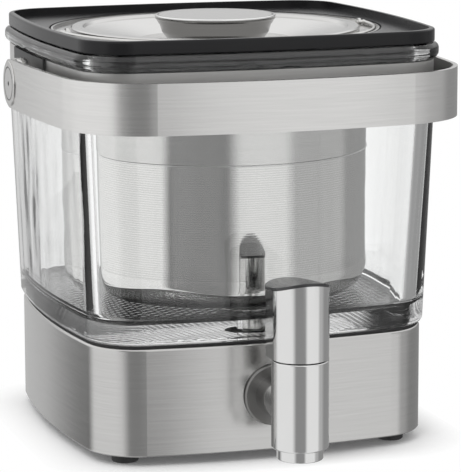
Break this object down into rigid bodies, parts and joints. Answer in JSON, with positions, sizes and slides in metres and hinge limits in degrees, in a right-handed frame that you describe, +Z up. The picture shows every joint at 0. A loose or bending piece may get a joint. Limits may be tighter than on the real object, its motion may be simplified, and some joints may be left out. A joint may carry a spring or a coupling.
{
  "type": "cold brew coffee maker with tap",
  "caption": "Square glass jar on a steel base with a front tap, swing-over carry handle, lift-off lid and a removable steel steeper with its own lid.",
  "frame": {"origin": "middle of the whole object's bounding box in plan, on the table under the rubber feet; the tap stands out in front, so the jar's own axis is 18.8 mm behind the origin", "axes": "+Z up, -Y towards the tap and the front, +X to the right seen from the front"},
  "size_m": [0.1704, 0.1938, 0.1698],
  "materials": {
    "brushed_steel": "brushed",
    "polished_steel": "polished",
    "mesh_steel": "fine etched mesh",
    "clear_glass": "clear",
    "black_plastic": "satin gloss",
    "grey_plastic": "matt",
    "rubber": "matt",
    "silicone": "satin"
  },
  "bodies": {
    "jar_unit": {"base_shell": "brushed_steel", "base_posts": "polished_steel", "floor_plate": "grey_plastic", "floor_screws": "polished_steel", "rubber_feet": "rubber", "jar_seat": "rubber", "glass_jar": "clear_glass", "drain_fitting": "polished_steel", "drain_washers": "silicone", "drain_nut": "grey_plastic", "outlet_hose": "silicone", "tap_body": "polished_steel", "tap_flange": "polished_steel", "tap_gasket": "rubber", "tap_nut": "grey_plastic", "valve_seat": "grey_plastic", "tap_nozzle": "polished_steel", "neck_collar": "brushed_steel", "side_plates": "brushed_steel", "pivot_bosses": "polished_steel", "pivot_washers": "grey_plastic", "stem_spring": "polished_steel"},
    "carry_handle": {"handle_band": "brushed_steel", "handle_caps": "brushed_steel"},
    "tap_lever_unit": {"tap_lever": "polished_steel", "lever_cap": "black_plastic", "lever_pin": "polished_steel"},
    "valve": {"valve_stem": "polished_steel", "stem_seal": "silicone"},
    "lid_unit": {"jar_lid": "black_plastic", "lid_gasket": "silicone"},
    "steeper_unit": {"steeper_rim": "brushed_steel", "steeper_screen": "mesh_steel", "steeper_cup": "mesh_steel"},
    "bail_unit": {"steeper_bail": "polished_steel"},
    "steeper_lid_unit": {"steeper_lid": "brushed_steel", "knob_body": "polished_steel", "knob_cap": "brushed_steel", "knob_screw": "polished_steel"}
  },
  "joints": [
    {"name": "handle_swing", "type": "hinge", "parent": "jar_unit", "child": "carry_handle", "pos_m": [0, 0.0278, 0.1434], "axis": [-1, 0, 0], "range_deg": [0, 180]},
    {"name": "lever_tip", "type": "hinge", "parent": "jar_unit", "child": "tap_lever_unit", "pos_m": [0, -0.0753, 0.0558], "axis": [-1, 0, 0], "range_deg": [0, 22]},
    {"name": "valve_lift", "type": "slide", "parent": "jar_unit", "child": "valve", "axis": [0, 0, 1], "range_m": [0, 0.0053], "stiffness_N_per_m": 20, "springref_m": -0.004, "deforming": ["stem_spring"]},
    {"name": "lid_lift", "type": "slide", "parent": "jar_unit", "child": "lid_unit", "axis": [0, 0, 1], "range_m": [0, 0.03]},
    {"name": "steeper_lift", "type": "slide", "parent": "lid_unit", "child": "steeper_unit", "axis": [0, 0, 1], "range_m": [0, 0.12]},
    {"name": "bail_swing", "type": "hinge", "parent": "steeper_unit", "child": "bail_unit", "pos_m": [0, 0.0188, 0.1644], "axis": [-1, 0, 0], "range_deg": [0, 180]},
    {"name": "steeper_lid_lift", "type": "slide", "parent": "steeper_unit", "child": "steeper_lid_unit", "axis": [0, 0, 1], "range_m": [0, 0.04]}
  ],
  "couplings": [
    {"joint": "valve_lift", "follows": "lever_tip", "m_per_rad": 0.0134}
  ]
}
